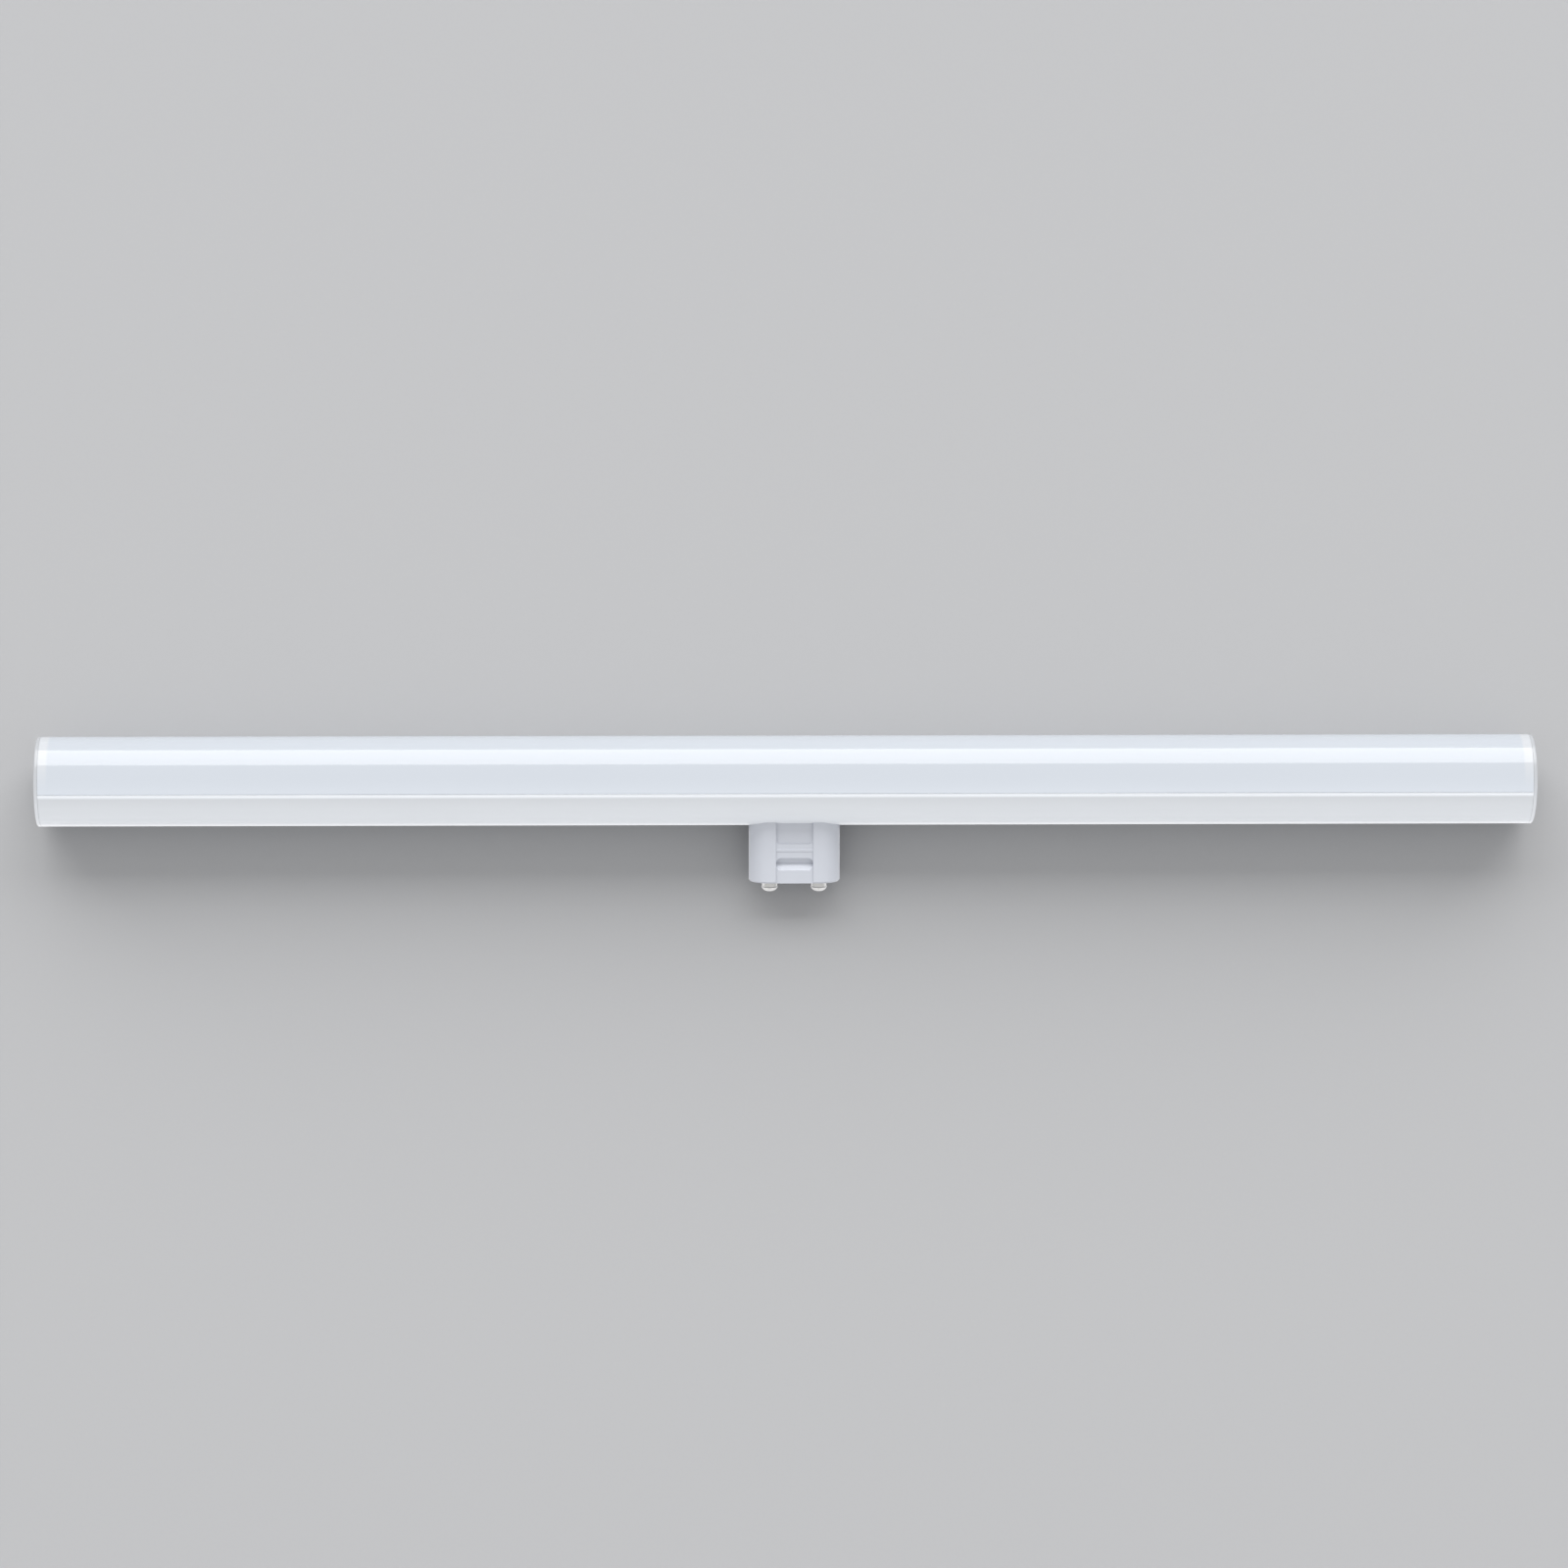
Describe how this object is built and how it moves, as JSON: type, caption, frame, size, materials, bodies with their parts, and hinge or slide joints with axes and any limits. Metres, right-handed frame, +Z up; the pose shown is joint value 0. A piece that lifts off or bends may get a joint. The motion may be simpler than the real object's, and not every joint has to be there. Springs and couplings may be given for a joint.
{
  "type": "tubular light bulb",
  "caption": "Straight white tubular lamp with an opal cover over a white housing, flat end caps and one two-contact base under its middle, lying down.",
  "frame": {"origin": "on the surface that the lamp lies on, under the middle of the lamp's box", "axes": "+X along the tube, +Z up as the lamp lies, the base towards -Y with its tip dipped 14.5 degrees"},
  "size_m": [0.5, 0.052, 0.0302],
  "materials": {
    "opal_plastic": "opal white, glossy",
    "white_plastic": "white, satin gloss",
    "cap_plastic": "white, satin gloss",
    "base_plastic": "moulded, satin",
    "contact_metal": "nickel-plated, polished",
    "tinned_metal": "tinned",
    "board_white": "white solder mask on an aluminium core",
    "board_green": "green solder mask",
    "emitter": "yellow phosphor in a white frame",
    "chip_black": "moulded",
    "chip_brown": "fired",
    "film_yellow": "moulded",
    "can_sleeve": "shrunk film sleeve",
    "ferrite": "ground",
    "copper": "enamelled wire",
    "resistor_body": "lacquered",
    "sleeve_film": "shrunk sleeve",
    "wire_insulation": "soft plastic"
  },
  "bodies": {
    "root": {"diffuser_cover": "opal_plastic", "back_housing": "white_plastic", "end_cap_left": "cap_plastic", "end_cap_right": "cap_plastic", "base_body": "base_plastic", "contact_pin_left": "contact_metal", "contact_pin_right": "contact_metal", "solder_tag_left": "tinned_metal", "solder_tag_right": "tinned_metal", "led_board": "board_white", "led_packages": "emitter", "link_pin_left": "tinned_metal", "link_pin_right": "tinned_metal", "driver_board": "board_green", "bridge_rectifier": "chip_black", "control_chip": "chip_black", "chip_parts": "chip_brown", "film_capacitor": "film_yellow", "reservoir_capacitor": "can_sleeve", "choke_core": "ferrite", "choke_winding": "copper", "fusible_resistor": "resistor_body", "resistor_sleeve": "sleeve_film", "supply_wire": "wire_insulation"}
  },
  "joints": []
}
